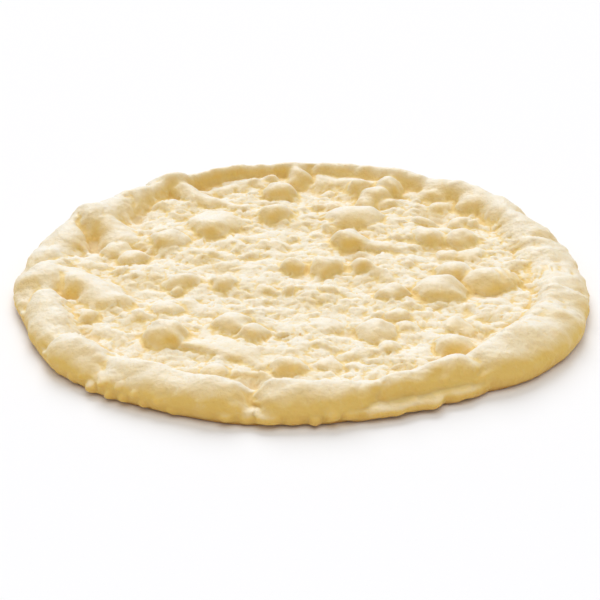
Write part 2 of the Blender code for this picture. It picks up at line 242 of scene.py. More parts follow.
# line, height at its start and end, reach on its left and right; below 0 it is a crease
folds = {
    "tongue at the back left": (
        ((-92, 121), (-83, 122), (-75, 117), (-67, 110), (-60, 104), (-54, 100)), 9.5, 4.4, 9, 8),
    "ridge after the tongue": (((-49, 101), (-42, 96), (-35, 91)), 2.6, 1.2, 6, 3.5),
    "scarp at the front left": (
        ((-57, -81), (-49, -83), (-42, -85.5), (-34, -89), (-26, -92), (-18, -94)), 3.7, 1.9, 17, 4.2),
    "lobe on the left": (
        ((-146, -14), (-136, -5), (-124, -6), (-115, -12), (-106, -20), (-99, -29)), 8, 4, 15, 13),
    "lobe beside the hollow": (((-126, 77), (-117, 69), (-109, 59), (-103, 46)), 8.5, 4.5, 13, 10),
    "tail on the right": (((30, 38), (42, 34), (54, 33)), 4.2, 2.2, 13, 3.8),
    "tail in the middle": (((33, 10), (40, 3), (46, -3)), 4.2, 1.2, 5, 5),
    "ridge at the back right": (((38, 97), (44, 106), (50, 116), (58, 125)), 5.5, 4, 7, 9),
    "bank behind": (((4, 131), (25, 129), (45, 124), (65, 115), (84, 102)), 3.4, 2.6, 13, 11),
    "bank behind the tongue": (((-62, 117), (-42, 125), (-22, 129), (-4, 130)), 2.2, 2.0, 10, 8),
    "crease in front": (((-21, -113), (-22.5, -128), (-23, -146)), -4.5, -7.5, 7, 13),
    "crease front left 1": (((-90, -93), (-96, -104), (-104, -117)), -2, -3.5, 6, 8),
    "crease front left 2": (((-108, -66), (-115, -71), (-122, -77), (-130, -84)), -2, -4, 4, 9),
    "crease left 1": (((-121, -27), (-128, -20), (-134, -22), (-140, -28), (-148, -39)), -2.5, -4, 4, 8),
    "dent in the lobe": (((-128, -8), (-124, -19)), -2.2, -1.2, 5, 5),
    "crease left 2": (((-120, 27), (-128, 20), (-134, 14), (-141, 8), (-152, 5)), -3, -4, 5, 11),
    "crease left 3": (((-112, 33), (-117, 41), (-121, 50), (-126, 62)), -5, -4, 4.5, 9),
    "crease back left 1": (((-86, 62), (-92, 73), (-95, 83), (-100, 96)), -2.5, -2, 5, 9),
    "crease back left 2": (((-84, 104), (-91, 114), (-97, 123)), -2.5, -1.5, 5, 6),
    "crease back left 3": (((-58, 122), (-66, 127), (-73, 131)), -2.5, -1.5, 5, 5),
    "crease behind": (((6, 128), (6.5, 138), (7, 143)), -2, -3, 4, 4),
    "crease back right": (((110, 69), (120, 72), (132, 77)), -1.5, -1.5, 8, 5),
    "crease right 1": (((124, 40), (134, 41), (148, 43)), -2.5, -2.5, 6, 4),
    "crease right 2": (((116, 31), (126, 31), (136, 26)), -1.5, -1.5, 6, 5),
    "crease right 3": (((122, -20), (134, -22), (148, -24)), -1.5, -2, 8, 4),
    "crease front right 1": (((73, -92), (80, -99), (84, -105), (88, -113)), -2, -3, 6, 6),
    "crease front right 2": (((33, -113), (37, -126), (39, -140)), -1.5, -2.5, 5, 8),
}

# azimuth, height above the underside, reach round the rim and upwards, push outwards
knobs = {
    "under the notch": (
        (-103.6, 4.0, 4.4, 3.2, 2.6),
        (-99.8, 3.0, 4.0, 2.8, 1.2),
        (-96.2, 4.2, 7.5, 3.6, 3.0),
        (-91.5, 3.0, 5.0, 3.0, 1.4),
        (-87.4, 3.4, 3.2, 3.4, 2.6),
        (-84.2, 5.6, 4.2, 3.2, 2.6),
        (-80.6, 4.2, 4.6, 3.2, 2.4),
    ),
    "crags at the front left": (
        (-136.5, 3.6, 3.6, 3.4, 1.4),
        (-133.8, 8.0, 3.4, 2.8, 1.2),
        (-131.5, 3.8, 4.0, 3.4, 2.8),
        (-129.0, 8.5, 3.2, 2.6, 2.0),
        (-127.0, 3.6, 2.8, 3.2, 2.8),
        (-125.2, 9.2, 2.6, 2.4, 2.0),
        (-124.0, 4.2, 3.0, 2.8, 2.4),
        (-121.6, 8.0, 2.4, 2.2, 1.8),
        (-119.8, 3.6, 3.0, 2.8, 2.2),
        (-116.8, 7.0, 2.4, 2.2, 1.2),
        (-114.0, 3.4, 3.4, 2.6, 1.6),
    ),
}

# a lip of dough that sticks out under the rim at the front right
lip = {
    "from": -81.0,
    "to": -51.5,
    "level": 3.2,
    "rise": 3.7,
    "push": 7.2,
    "endPower": 0.6,  # how quickly it grows from its ends
    "edgePower": 0.3,  # how blunt its edge is
    "ruffle": 0.9,  # unevenness of its edge
    "wander": 0.36,  # unevenness of its level
    "lengthOfDegree": 2.5,
    "ruffleWaves": (13, 31),  # wavelength and seed
    "wanderWaves": (18, 32),
}

# soft unevenness: wavelength, height and seeds
warps = ((22, 0.8, 1, 2), (9, 0.35, 21, 22))  # sideways, with a seed for each way
swells = ((34, 0.75, 5), (15, 0.35, 6))
ripple = {"wavelength": 8, "height": 0.04, "heightOnRim": 0.08, "seed": 33}
furrow = {"wavelength": 12, "height": 0.26, "stretch": (0.65, 1.25), "seed": 41}
dimples = {"swells": ((26, 1.0, 7), (10, 0.6, 8)), "threshold": 0.5, "height": 0.35, "edge": 0.06}

# fans of fine wrinkles: first line, last line, how many, depth and half width
wrinkles = {
    "on the right blister": (((102, 2), (109, -24)), ((113, 6), (124, -16)), 6, 1.4, 2.0),
    "along the right rim": (((121, 18), (116, -8)), ((147, 6), (144, -16)), 10, 1.1, 1.9),
    "across the right rim": (((118, -26), (138, -32)), ((112, -50), (130, -60)), 9, 0.6, 1.8),
    "over the front right rim": (((112, -52), (128, -62)), ((92, -78), (108, -88)), 10, 0.6, 1.8),
}

wrinkleSpread = {"sideways": 0.35, "lateStart": 0.35, "earlyEnd": 0.6, "leastDepth": 0.5, "fade": 0.5}

smallBubbles = {
    "count": 300,
    "reach": 132.0,
    "leastRadius": 3.6,
    "mostRadius": 7.0,
    "plumpness": 0.29,
    "stretch": (0.8, 1.25),
    "fadeUnderBlisters": 2.0,
    "seed": 11,
}

# how taut the skin gets, and the height, or the place on the side, over which it does
tautness = {
    "blister": (0.96, 0.1, 1.8),
    "ridge": (0.75, 0.3, 2.4),
    "rim": (0.7, 1.8, 6.0),
    "side": (0.74, 0.0, 0.25),
    "less near the foot": (0.45, 0.35, 0.75),
}


def wayTo(azimuth, height):
    # the unit vector to a point in the sky
    turn, tilt = math.radians(azimuth), math.radians(height)
    return Vector((math.cos(turn) * math.cos(tilt), math.sin(turn) * math.cos(tilt), math.sin(tilt)))


def waves(points, wavelength, seed, count=16):
    # a smooth random field with a spread of about 1
    draw = np.random.default_rng(seed)
    ways = draw.normal(size=(count, points.shape[1]))
    ways /= np.linalg.norm(ways, axis=1, keepdims=True)
    pitch = 2 * math.pi / (wavelength * draw.uniform(0.7, 1.5, count))
    phase = draw.uniform(0, 2 * math.pi, count)
    return np.sin(points @ (ways.T * pitch) + phase).sum(axis=1) / math.sqrt(count / 2)


def rimAt(azimuth):
    stations = np.array(rim)
    turn = np.cos(azimuth[:, None] - np.radians(stations[:, 0]))
    nearness = np.exp(dough["rimBlend"] * (turn - 1))
    return (nearness @ stations[:, 1:] / nearness.sum(axis=1, keepdims=True)).T


def dome(distance, steepness=1.0):
    return np.clip(1 - distance**2, 0, None) ** steepness


def fused(heights, sharpness=3.0):
    # about the greatest of several heights, with a soft join
    return sum(height**sharpness for height in heights) ** (1 / sharpness)


def smooth(low, high, value):
    part = np.clip((value - low) / (high - low), 0, 1)
    return part * part * (3 - 2 * part)


def alongLine(line, plan):
    # distance from the line, which side of it, and place along it from 0 to 1
    ends = np.array(line, float)
    steps = np.linalg.norm(np.diff(ends, axis=0), axis=1)
    walked = np.concatenate([[0], np.cumsum(steps)])
    nearest = np.full(len(plan), np.inf)
    side = np.zeros(len(plan))
    place = np.zeros(len(plan))
    for number, step in enumerate(steps):
        start, way = ends[number], (ends[number + 1] - ends[number]) / step
        local = plan - start
        run = np.clip(local @ way, 0, step)
        apart = np.linalg.norm(local - run[:, None] * way, axis=1)
        closer = apart < nearest
        nearest[closer] = apart[closer]
        side[closer] = (way[0] * local[:, 1] - way[1] * local[:, 0])[closer]
        place[closer] = ((walked[number] + run) / walked[-1])[closer]
    return nearest, side, place


def foldRelief(plan):
    ridges, creases = [], []
    for line, start, end, left, right in folds.values():
        apart, side, place = alongLine(line, plan)
        near = apart / np.where(side > 0, left, right)
        height = start + (end - start) * place
        if start > 0:
            ridges.append(height * dome(near))
        else:
            creases.append(-height / (1 + (dough["creaseSharpness"] * near) ** 2) ** 1.5)
    return fused(ridges), fused(creases)


def wrinkleDepth(plan):
    total = np.zeros(len(plan))
    sideways, fade = wrinkleSpread["sideways"], wrinkleSpread["fade"]
    for (startA, endA), (startB, endB), count, depth, width in wrinkles.values():
        draw = np.random.default_rng(count)
        for number in range(count):
            share = (number + draw.uniform(-sideways, sideways)) / (count - 1)
            start = np.array(startA) * (1 - share) + np.array(startB) * share
            end = np.array(endA) * (1 - share) + np.array(endB) * share
            near = draw.uniform(0.0, wrinkleSpread["lateStart"]), draw.uniform(wrinkleSpread["earlyEnd"], 1.0)
            line = [start + (end - start) * near[0], start + (end - start) * near[1]]
            apart, _, place = alongLine(line, plan)
            faded = np.sin(np.clip(place, 0.02, 0.98) * math.pi) ** fade
            deep = depth * draw.uniform(wrinkleSpread["leastDepth"], 1.0)
            total = np.maximum(total, deep * faded * dome(apart / width))
    return total


def lipPush(azimuth, level):
    turn = np.clip((azimuth - lip["from"]) / (lip["to"] - lip["from"]), 0, 1)
    along = azimuth * lip["lengthOfDegree"]
    ruffle = lip["ruffle"] * waves(np.column_stack([along, level]), *lip["ruffleWaves"])
    middle = lip["level"] + lip["wander"] * waves(along[:, None], *lip["wanderWaves"])
    push = np.clip(lip["push"] + ruffle, 0, None) * np.sin(turn * math.pi) ** lip["endPower"]
    return push * dome((level - middle) / lip["rise"], lip["edgePower"])


def footPush(solid):
    # how the knobs and the lip near the foot push its side outwards, level
    azimuth = np.degrees(np.arctan2(solid[:, 1], solid[:, 0]))
    around = np.hypot(solid[:, 0], solid[:, 1])
    pushes = []
    for group in knobs.values():
        for turn, level, reach, rise, push in group:
            away = np.radians((azimuth - turn + 180) % 360 - 180) * around / reach
            pushes.append(push * dome(np.hypot(away, (solid[:, 2] - level) / rise)))
    pushes.append(lipPush(azimuth, solid[:, 2]))
    outward = solid * (1, 1, 0)
    onSide = around > 120
    return outward * (fused(pushes) * onSide / np.maximum(around, 1))[:, None]


def blisterRelief(plan):
    heights = []
    for group in blisters.values():
        for x, y, halfWidth, halfDepth, height in group:
            half = np.array((halfWidth, halfDepth)) * dough["blisterSkirt"]
            distance = np.linalg.norm((plan - (x, y)) / half, axis=1)
            apron = dough["blisterApron"] * dome(distance / dough["apronReach"], 2)
            heights.append(height * fused([dome(distance, dough["blisterSoftness"]), apron]))
    return fused(heights)


def bubbleRelief(plan):
    draw = np.random.default_rng(smallBubbles["seed"])
    least, spread = smallBubbles["leastRadius"], smallBubbles["mostRadius"] - smallBubbles["leastRadius"]
    total = np.zeros(len(plan))
    for _ in range(smallBubbles["count"]):
        turn, out = draw.uniform(0, 2 * math.pi), smallBubbles["reach"] * math.sqrt(draw.uniform())
        radius = least + spread * draw.uniform() ** 2
        stretch = draw.uniform(*smallBubbles["stretch"])
        local = plan - (out * math.cos(turn), out * math.sin(turn))
        distance = np.hypot(local[:, 0] / stretch, local[:, 1] * stretch) / radius
        total += (smallBubbles["plumpness"] * radius * draw.uniform(0.5, 1.0) * dome(distance)) ** 3
    return total ** (1 / 3)


def ringOf(azimuth, place):
    # place runs from 0 in the middle to 1 at the rim's crest, and on to 2 at the foot of the roll
    radius, inset, height, shoulder = rimAt(azimuth)
    crest = radius - inset
    rise = height - dough["floor"]
    out = np.column_stack([np.cos(azimuth), np.sin(azimuth)])
    if place <= 1:
        reach = crest * place
        slope = np.clip((reach - (crest - shoulder)) / shoulder, 0, 1)
        rise = rise * np.sin(slope * math.pi / 2) ** dough["innerPower"]
        solid = np.column_stack([reach[:, None] * out, dough["floor"] + rise])
        facing = np.tile((0.0, 0.0, 1.0), (len(azimuth), 1))
        return solid, facing, reach[:, None] * out, rise
    foot = math.radians(dough["footAngle"])
    turned = foot * (place - 1)
    level = dough["sideHeight"]
    if turned <= math.pi / 2:
        reach = crest + inset * math.sin(turned) ** dough["outerPower"]
        level = level + (height - level) * math.cos(turned) ** dough["fallPower"]
    else:
        reach = radius - dough["undercut"] * (1 - math.sin(turned)) / (1 - math.sin(foot))
        level = np.full(len(azimuth), level * (1 - math.cos(turned) / math.cos(foot)))
    solid = np.column_stack([reach[:, None] * out, level])
    facing = np.column_stack([math.sin(turned) * out, np.full(len(azimuth), math.cos(turned))])
    unrolled = crest + turned * (inset + height) / 2
    return solid, facing, unrolled[:, None] * out, rise


def ringLength(place):
    azimuth = np.linspace(0, 2 * math.pi, 180, endpoint=False)
    solid = ringOf(azimuth, place)[0]
    return np.linalg.norm(np.diff(solid, axis=0, append=solid[:1]), axis=1).sum()


def ringAzimuths(number, length, spacing):
    count = max(6, round(length / spacing))
    return 2 * math.pi * (np.arange(count) + 0.5 * (number % 2)) / count


def stitch(faces, inner, outer):
    # triangles between two rings, each a pair of azimuths and first vertex
    (turnsA, firstA), (turnsB, firstB) = inner, outer
    countA, countB = len(turnsA), len(turnsB)
    a, b = 0, 0
    while a < countA or b < countB:
        nextA = turnsA[a + 1] if a + 1 < countA else turnsA[(a + 1) % countA] + 2 * math.pi
        nextB = turnsB[b + 1] if b + 1 < countB else turnsB[(b + 1) % countB] + 2 * math.pi
        here, there = firstA + a % countA, firstB + b % countB
        if b >= countB or (a < countA and nextA < nextB):
            faces.append((here, there, firstA + (a + 1) % countA))
            a += 1
        else:
            faces.append((here, there, firstB + (b + 1) % countB))
            b += 1


def topRings():
    # the rings of the top and the side, from the middle outwards
    spacing, sideRings = dough["spacing"], dough["sideRings"]
    inner = round(dough["crestReach"] / (spacing * math.sqrt(3) / 2))
    places = [step / inner for step in range(1, inner + 1)]
    places += [1 + step / sideRings for step in range(1, sideRings + 1)]
    top = {
        "solid": [np.array([[0.0, 0.0, dough["floor"]]])],
        "facing": [np.array([[0.0, 0.0, 1.0]])],
        "plan": [np.zeros((1, 2))],
        "rise": [np.zeros(1)],
        "free": [np.ones(1)],  # how much of the relief shows: less and less towards the foot
        "crest": [np.zeros(1)],
        "side": [np.zeros(1)],  # 0 as far as the crest, 1 at the foot
    }
    turns, firsts, total = [], [], 1
    for number, place in enumerate(places):
        azimuth = ringAzimuths(number, ringLength(place), spacing)
        solid, facing, plan, rise = ringOf(azimuth, place)
        side = np.full(len(azimuth), max(0.0, place - 1))
        crest = smooth(*dough["onCrest"], rise / (rimAt(azimuth)[2] - dough["floor"]))
        crest = crest * (1 - smooth(0.0, dough["crestEnd"], side))
        for name, values in zip(top, (solid, facing, plan, rise, 1 - side**3, crest, side)):
            top[name].append(values)
        turns.append(azimuth)
        firsts.append(total)
        total += len(azimuth)
    return {name: np.concatenate(parts) for name, parts in top.items()}, turns, firsts


def allWaves(points, layers):
    return sum(height * waves(points, wavelength, seed) for wavelength, height, seed in layers)


def tautOver(name, cause):
    most, low, high = tautness[name]
    return most * smooth(low, high, cause)


def formedTop(top):
    # every point of the top and the side, how deep it lies in a wrinkle, and how taut its skin is
    solid, plan, rise, side = (top[name] for name in ("solid", "plan", "rise", "side"))
    warped = plan
    for wavelength, shift, seedX, seedY in warps:
        warped = warped + shift * np.column_stack([waves(plan, wavelength, seedX), waves(plan, wavelength, seedY)])
    ridges, creases = foldRelief(warped)
    named = blisterRelief(warped)
    bubbles = bubbleRelief(warped) * np.exp(-named / smallBubbles["fadeUnderBlisters"])
    onRim = smooth(*dough["onRim"], rise)
    bare = (1 - onRim) * np.exp(-(named + ridges) / dough["bareFade"])
    rippled = (ripple["height"] + ripple["heightOnRim"] * onRim) * waves(solid, ripple["wavelength"], ripple["seed"])
    furrowed = waves(warped * furrow["stretch"], furrow["wavelength"], furrow["seed"])
    swell = allWaves(solid, swells) + rippled + furrow["height"] * bare * furrowed
    standing = fused([rise, named, ridges, bubbles]) - rise - creases + swell
    wrinkled = wrinkleDepth(warped)
    standing = standing * top["free"] - wrinkled
    points = solid + top["facing"] * standing[:, None] + footPush(solid)

    # near 0 on open crumbly dough, near 1 on the taut skin of blisters, ridges and rim
    onSide = tautOver("side", side) * (1 - tautOver("less near the foot", side))
    taut = [tautOver("blister", named), tautOver("ridge", ridges), tautOver("rim", rise), onSide]
    return points, wrinkled, np.maximum.reduce(taut)


def soleRings(footAzimuth, foot, total):
    # the underside: rings inwards from the foot, dimpled upwards a little
    footReach = np.linalg.norm(foot[:, :2], axis=1)
    steps = round(footReach.mean() / dough["soleSpacing"])
    points, turns, firsts = [], [], []
    for number in range(1, steps):
        share = 1 - number / steps
        azimuth = ringAzimuths(number, 2 * math.pi * footReach.mean() * share, dough["soleSpacing"])
        reach = np.interp(azimuth, footAzimuth, footReach, period=2 * math.pi) * share
        ring = np.column_stack([reach * np.cos(azimuth), reach * np.sin(azimuth), np.zeros(len(azimuth))])
        lift = np.clip(allWaves(ring, dimples["swells"]) - dimples["threshold"], 0, None)
        ring[:, 2] = dimples["height"] * lift * smooth(0, dimples["edge"], 1 - share)
        points.append(ring)
        turns.append(azimuth)
        firsts.append(total)
        total += len(azimuth)
    return points, turns, firsts


def doughSurface():
    # the top and the side from the middle outwards, then the underside inwards
    top, turns, firsts = topRings()
    points, wrinkled, taut = formedTop(top)
    topCount = len(points)
    points[firsts[-1]:, 2] = 0.0
    solePoints, soleTurns, soleFirsts = soleRings(turns[-1], points[firsts[-1]:], topCount)
    points = np.concatenate([points] + solePoints + [np.zeros((1, 3))])
    turns, firsts = turns + soleTurns, firsts + soleFirsts

    faces = [(0, 1 + step, 1 + (step + 1) % len(turns[0])) for step in range(len(turns[0]))]
    for number in range(len(turns) - 1):
        stitch(faces, (turns[number], firsts[number]), (turns[number + 1], firsts[number + 1]))
    middle, last, count = len(points) - 1, firsts[-1], len(turns[-1])
    faces += [(middle, last + (step + 1) % count, last + step) for step in range(count)]

    onSole = np.zeros(len(points) - topCount)
    fields = {
        "taut": np.concatenate([taut, onSole + 1]),
        "grip": np.concatenate([smooth(0.0, 0.12, 1 - top["side"]), onSole]),
        "crest": np.concatenate([top["crest"], onSole]),
        "wrinkle": np.concatenate([wrinkled, onSole]),
        "sole": np.concatenate([np.zeros(topCount), onSole + 1]),
    }
    points[:, :2] += dough["shift"]
    return points * mm, faces, fields


def meshFrom(name, points, faces, fields):
    data = bpy.data.meshes.new(name)
    data.from_pydata(points.tolist(), [], faces)
    for field, values in fields.items():
        layer = data.attributes.new(field, "FLOAT", "POINT")
        layer.data.foreach_set("value", np.asarray(values, np.float32))
    data.shade_smooth()
    return data


# ---- nodes: one class for values, so that maths reads as an expression


class Field:
    def __init__(self, board, socket):
        self.board, self.socket = board, socket

    def __add__(self, other):
        return self.board.math("ADD", self, other)

    def __radd__(self, other):
        return self.board.math("ADD", other, self)

    def __sub__(self, other):
        return self.board.math("SUBTRACT", self, other)

    def __rsub__(self, other):
        return self.board.math("SUBTRACT", other, self)

    def __mul__(self, other):
        return self.board.math("MULTIPLY", self, other)

    def __rmul__(self, other):
        return self.board.math("MULTIPLY", other, self)

    def __rtruediv__(self, other):
        return self.board.math("DIVIDE", other, self)

    def __pow__(self, other):
        return self.board.math("POWER", self, other)


class Board:
    # a node tree, shader or geometry, with one way to add a node
    def __init__(self, tree):
        self.tree = tree

    def node(self, kind, settings=None, **sockets):
        made = self.tree.nodes.new(kind)
        for name, value in (settings or {}).items():
            if name == "stops":
                ramp = made.color_ramp
                while len(ramp.elements) < len(value):
                    ramp.elements.new(1.0)
                for element, (place, colour) in zip(ramp.elements, value):
                    element.position, element.color = place, colour
            else:
                setattr(made, name, value)
        for name, value in sockets.items():
            key = int(name[1:]) if name[0] == "i" and name[1:].isdigit() else name.replace("_", " ")
            self.put(made.inputs[key], value)
        return made

    def put(self, socket, value):
        if isinstance(value, Field):
            self.tree.links.new(value.socket, socket)
        else:
            socket.default_value = value

    def out(self, made, name=0):
        return Field(self, made.outputs[name])

    def math(self, operation, first, second=0.0, third=0.0):
        made = self.node("ShaderNodeMath", {"operation": operation}, i0=first, i1=second, i2=third)
        return self.out(made)

    def vector(self, operation, first, second=(0, 0, 0), scale=None):
        made = self.node("ShaderNodeVectorMath", {"operation": operation}, i0=first, i1=second)
        if scale is not None:
            self.put(made.inputs["Scale"], scale)
        return self.out(made)

    def ease(self, value, low, high, top=1.0):
        settings = {"interpolation_type": "SMOOTHSTEP"}
        made = self.node("ShaderNodeMapRange", settings, Value=value, From_Min=low, From_Max=high, To_Max=top)
        return self.out(made)

    def least(self, first, second):
        return self.math("MINIMUM", first, second)

    def most(self, first, second):
        return self.math("MAXIMUM", first, second)


# ---- the crumbly skin: lumps, pits and grain, grown over the whole surface by one rule

skin = {
    "Lump size": 5.4 * mm,
    "Lump height": 1.2 * mm,
    "Small lump share": 0.42,  # size and height of the second layer of lumps, against the first
    "Pit size": 1.9 * mm,
    "Pit depth": 0.7 * mm,
    "Grain size": 7.0 * mm,
    "Grain height": 0.35 * mm,
    "Seed": 4.0,
}

# the rule's own proportions
skinRule = {
    "bend": 0.9,  # how far the pattern is bent, against a lump's size
    "bendScale": 0.7,
    "lumpEdge": 2.2,  # how soon a lump rises from its edge
    "lumpLeast": 0.2,  # the lowest lump against the highest
    "pitCell": 2.6,  # room for each pit, against its size
    "pitShare": (0.55, 0.75),  # which of the cells have a pit
    "sunk": 0.45,  # of a lump's height, so that lumps leave the form's own level
    "onTaut": 0.16,  # what is left of the lumps on taut skin
    "grainOnTaut": 0.35,  # and of the grain
}


def skinTree():
    tree = bpy.data.node_groups.new("doughSkin", "GeometryNodeTree")
    tree.interface.new_socket("Geometry", in_out="INPUT", socket_type="NodeSocketGeometry")
    for name in skin:
        tree.interface.new_socket(name, in_out="INPUT", socket_type="NodeSocketFloat")
    tree.interface.new_socket("Material", in_out="INPUT", socket_type="NodeSocketMaterial")
    tree.interface.new_socket("Geometry", in_out="OUTPUT", socket_type="NodeSocketGeometry")
    board = Board(tree)
    given = board.node("NodeGroupInput")
    size = {name: board.out(given, name) for name in skin}

    place = board.out(board.node("GeometryNodeInputPosition"))
    normal = board.out(board.node("GeometryNodeInputNormal"))
    attribute = {"data_type": "FLOAT"}
    taut = board.out(board.node("GeometryNodeInputNamedAttribute", attribute, Name="taut"))
    grip = board.out(board.node("GeometryNodeInputNamedAttribute", attribute, Name="grip"))
    crumbly = 1 - taut

    warpNoise = board.node("ShaderNodeTexNoise", {"noise_dimensions": "4D"}, Vector=place, W=size["Seed"],
                           Scale=skinRule["bendScale"] / size["Lump size"], Detail=1.0)
    warp = board.vector("SUBTRACT", board.out(warpNoise, "Color"), (0.5, 0.5, 0.5))
    bent = board.vector("ADD", place, board.vector("SCALE", warp, scale=size["Lump size"] * skinRule["bend"]))

    def cells(cell, seed):
        # pillows between creases, each its own height; distance from each one's middle; and its chance
        where = board.vector("ADD", bent, board.out(board.node("ShaderNodeCombineXYZ", X=seed, Y=seed * 0.7)))
        edge = board.node("ShaderNodeTexVoronoi", {"feature": "DISTANCE_TO_EDGE"}, Vector=where, Scale=1.0 / cell)
        nearest = board.node("ShaderNodeTexVoronoi", {"feature": "F1"}, Vector=where, Scale=1.0 / cell)
        chance = board.out(board.node("ShaderNodeSeparateXYZ", i0=board.out(nearest, "Color")))
        near = board.least(board.out(edge, "Distance") * skinRule["lumpEdge"], 1.0)
        pillow = 1 - (1 - near) ** 2.0
        least = skinRule["lumpLeast"]
        return pillow * (chance * (1 - least) + least), board.out(nearest, "Distance"), chance

    big, _, _ = cells(size["Lump size"], size["Seed"] + 0.3)
    small, _, _ = cells(size["Lump size"] * size["Small lump share"], size["Seed"] + 7.7)
    lumpHeight = size["Lump height"] * (big + size["Small lump share"] * small)

    _, pitDistance, pitChance = cells(size["Pit size"] * skinRule["pitCell"], size["Seed"] + 3.1)
    pit = 1 - board.least(pitDistance * skinRule["pitCell"], 1.0) ** 2.0
    pit = pit * board.ease(pitChance, *skinRule["pitShare"])
    grainNode = board.node("ShaderNodeTexNoise", {"noise_dimensions": "4D"}, Vector=place, W=size["Seed"] + 1.4,
                           Scale=1.0 / size["Grain size"], Detail=3.0, Roughness=0.55)
    grain = (board.out(grainNode) - 0.5) * 2.0

    onTaut, grainOnTaut = skinRule["onTaut"], skinRule["grainOnTaut"]
    height = lumpHeight - size["Pit depth"] * pit - skinRule["sunk"] * size["Lump height"]
    height = height * (onTaut + (1 - onTaut) * crumbly)
    height = height + (grainOnTaut + (1 - grainOnTaut) * crumbly) * grain * size["Grain height"]
    height = height * grip
    moved = board.node("GeometryNodeSetPosition", Geometry=board.out(given, "Geometry"),
                       Offset=board.vector("SCALE", normal, scale=height))
    real = board.node("GeometryNodeRealizeInstances", Geometry=board.out(moved))
    painted = board.node("GeometryNodeSetMaterial", Geometry=board.out(real), Material=board.out(given, "Material"))
    board.node("NodeGroupOutput", Geometry=board.out(painted))
    return tree


def grownSkin(thing, material):
    tree = skinTree()
    modifier = thing.modifiers.new("skin", "NODES")
    modifier.node_group = tree
    values = dict(skin, Material=material)
    for item in tree.interface.items_tree:
        if item.in_out == "INPUT" and item.name in values:
            modifier[item.identifier] = values[item.name]
    graph = bpy.context.evaluated_depsgraph_get()
    plain = bpy.data.meshes.new_from_object(thing.evaluated_get(graph))
    thing.modifiers.remove(modifier)
    thing.data = plain
    return plain


def neighbourMean(values, pairs, degree):
    total = np.zeros_like(values)
    for axis in range(values.shape[1]):
        total[:, axis] = np.bincount(pairs[:, 0], values[pairs[:, 1], axis], len(values))
        total[:, axis] += np.bincount(pairs[:, 1], values[pairs[:, 0], axis], len(values))
    return total / degree[:, None]


# "hollow" is how deep a point lies under its close surroundings, "dip" under its wider ones, in mm
blurs = {5: "hollow", 60: "dip"}  # rounds of blurring for each


def addShading(data):
    count = len(data.vertices)
    points = np.empty(count * 3)
    data.vertices.foreach_get("co", points)
    points = points.reshape(-1, 3) / mm
    normals = np.empty(count * 3)
    data.vertices.foreach_get("normal", normals)
    normals = normals.reshape(-1, 3)
    pairs = np.empty(len(data.edges) * 2, int)
    data.edges.foreach_get("vertices", pairs)
    pairs = pairs.reshape(-1, 2)
    degree = np.bincount(pairs.ravel(), minlength=count).astype(float)
    blurred, kept = points.copy(), {}
    for turn in range(1, max(blurs) + 1):
        blurred = neighbourMean(blurred, pairs, degree)
        if turn in blurs:
            kept[blurs[turn]] = ((blurred - points) * normals).sum(axis=1)
    facing = normals.copy()
    for _ in range(3):
        facing = neighbourMean(facing, pairs, degree)
    # how squarely each point faces the studio's sun, which the material turns into painted shade
    kept["lit"] = facing @ np.array(wayTo(studio["sunAzimuth"], studio["sunHeight"]))
    kept["upward"] = facing[:, 2]
    for name, values in kept.items():
        layer = data.attributes.new(name, "FLOAT", "POINT")
        layer.data.foreach_set("value", values.astype(np.float32))


# ---- the finish: pale, barely baked dough

finish = {
    "cream": (0.868, 0.818, 0.70, 1),  # tops and slopes facing the sun: the lit copy of the dough's colour, against its painted shade in gold; also painted light on the low ledge
    "shadeGold": (0.885, 0.62, 0.175, 1),  # painted shade: slopes turned from the sun, steep flanks and wrinkles, partly the real yellow of thin skins
    "butter": (0.885, 0.655, 0.23, 1),  # painted shade in creases and hollows; also the random grain
    "honey": (0.78, 0.49, 0.11, 1),  # painted shade in deep hollows and low down towards the foot
    "amber": (0.70, 0.36, 0.09, 1),  # a few scorched specks
    "flour": (0.86, 0.82, 0.71, 1),
    "sole": (0.85, 0.65, 0.34, 1),  # underside
    "toast": (0.55, 0.28, 0.08, 1),  # patches on the underside, and the edge of the sole, there partly painted contact shadow
    "shadeFrom": 0.75,  # how much a surface faces the sun, under which it turns gold as painted shade
    "shadeSlope": 1.2,
    "paleCrest": 0.2,  # how much less painted shade the rim's crest has, so its crest is painted as lit
    "blotchSpread": 0.24,
    "roughness": 0.62,
    "smootherWhereTaut": 0.14,
    "roughnessSpread": 0.2,
    "specular": 0.28,
    "subsurface": 0.75,
    "subsurfaceRadius": (1.0, 0.92, 0.8),
    "subsurfaceScale": 1.8 * mm,
    "bumpStrength": 0.7,
    "bumpHeight": 0.5 * mm,
}

# noise over the surface: size in mm, detail and roughness
mottle = {
    "blotch": (14, 2, 0.5),
    "fleck": (2.2, 3, 0.5),
    "grain": (1.5, 3, 0.65),
    "dust": (5, 4, 0.6),
    "toast": (16, 4, 0.6),
    "pores": (0.9, 3, 0.65),
    "creased": (3.2, 3, 0.6),
}

crumbSize = 1.5 * mm
relief = {"pores": 0.3, "crumbs": 0.6, "creased": 1.7}  # shares of the bump

# what brings a colour in: the range of its cause over which it comes, and its full share
tints = {
    "steep": (0.05, 0.5, 0.3),
    "hollow": (0.0, 0.4, 0.75),
    "dip": (0.5, 2.8, 0.5),
    "wrinkle": (0.2, 1.0, 0.45),
    "grain": (0.5, 0.72, 0.3),
    "dust": (0.52, 0.75, 0.5),
    "speck": (0.0, 0.08, 0.8),
    "foot": (0.0, 12 * mm, 0.7),
    "ledge": (0.4, 0.75, 0.3),
    "edge of the sole": (0.2 * mm, 3.6 * mm, 0.9),
    "toast": (0.5, 0.72, 0.7),
}
specks = {"spacing": 8.5, "radius": 0.11, "chance": (0.9, 0.93)}
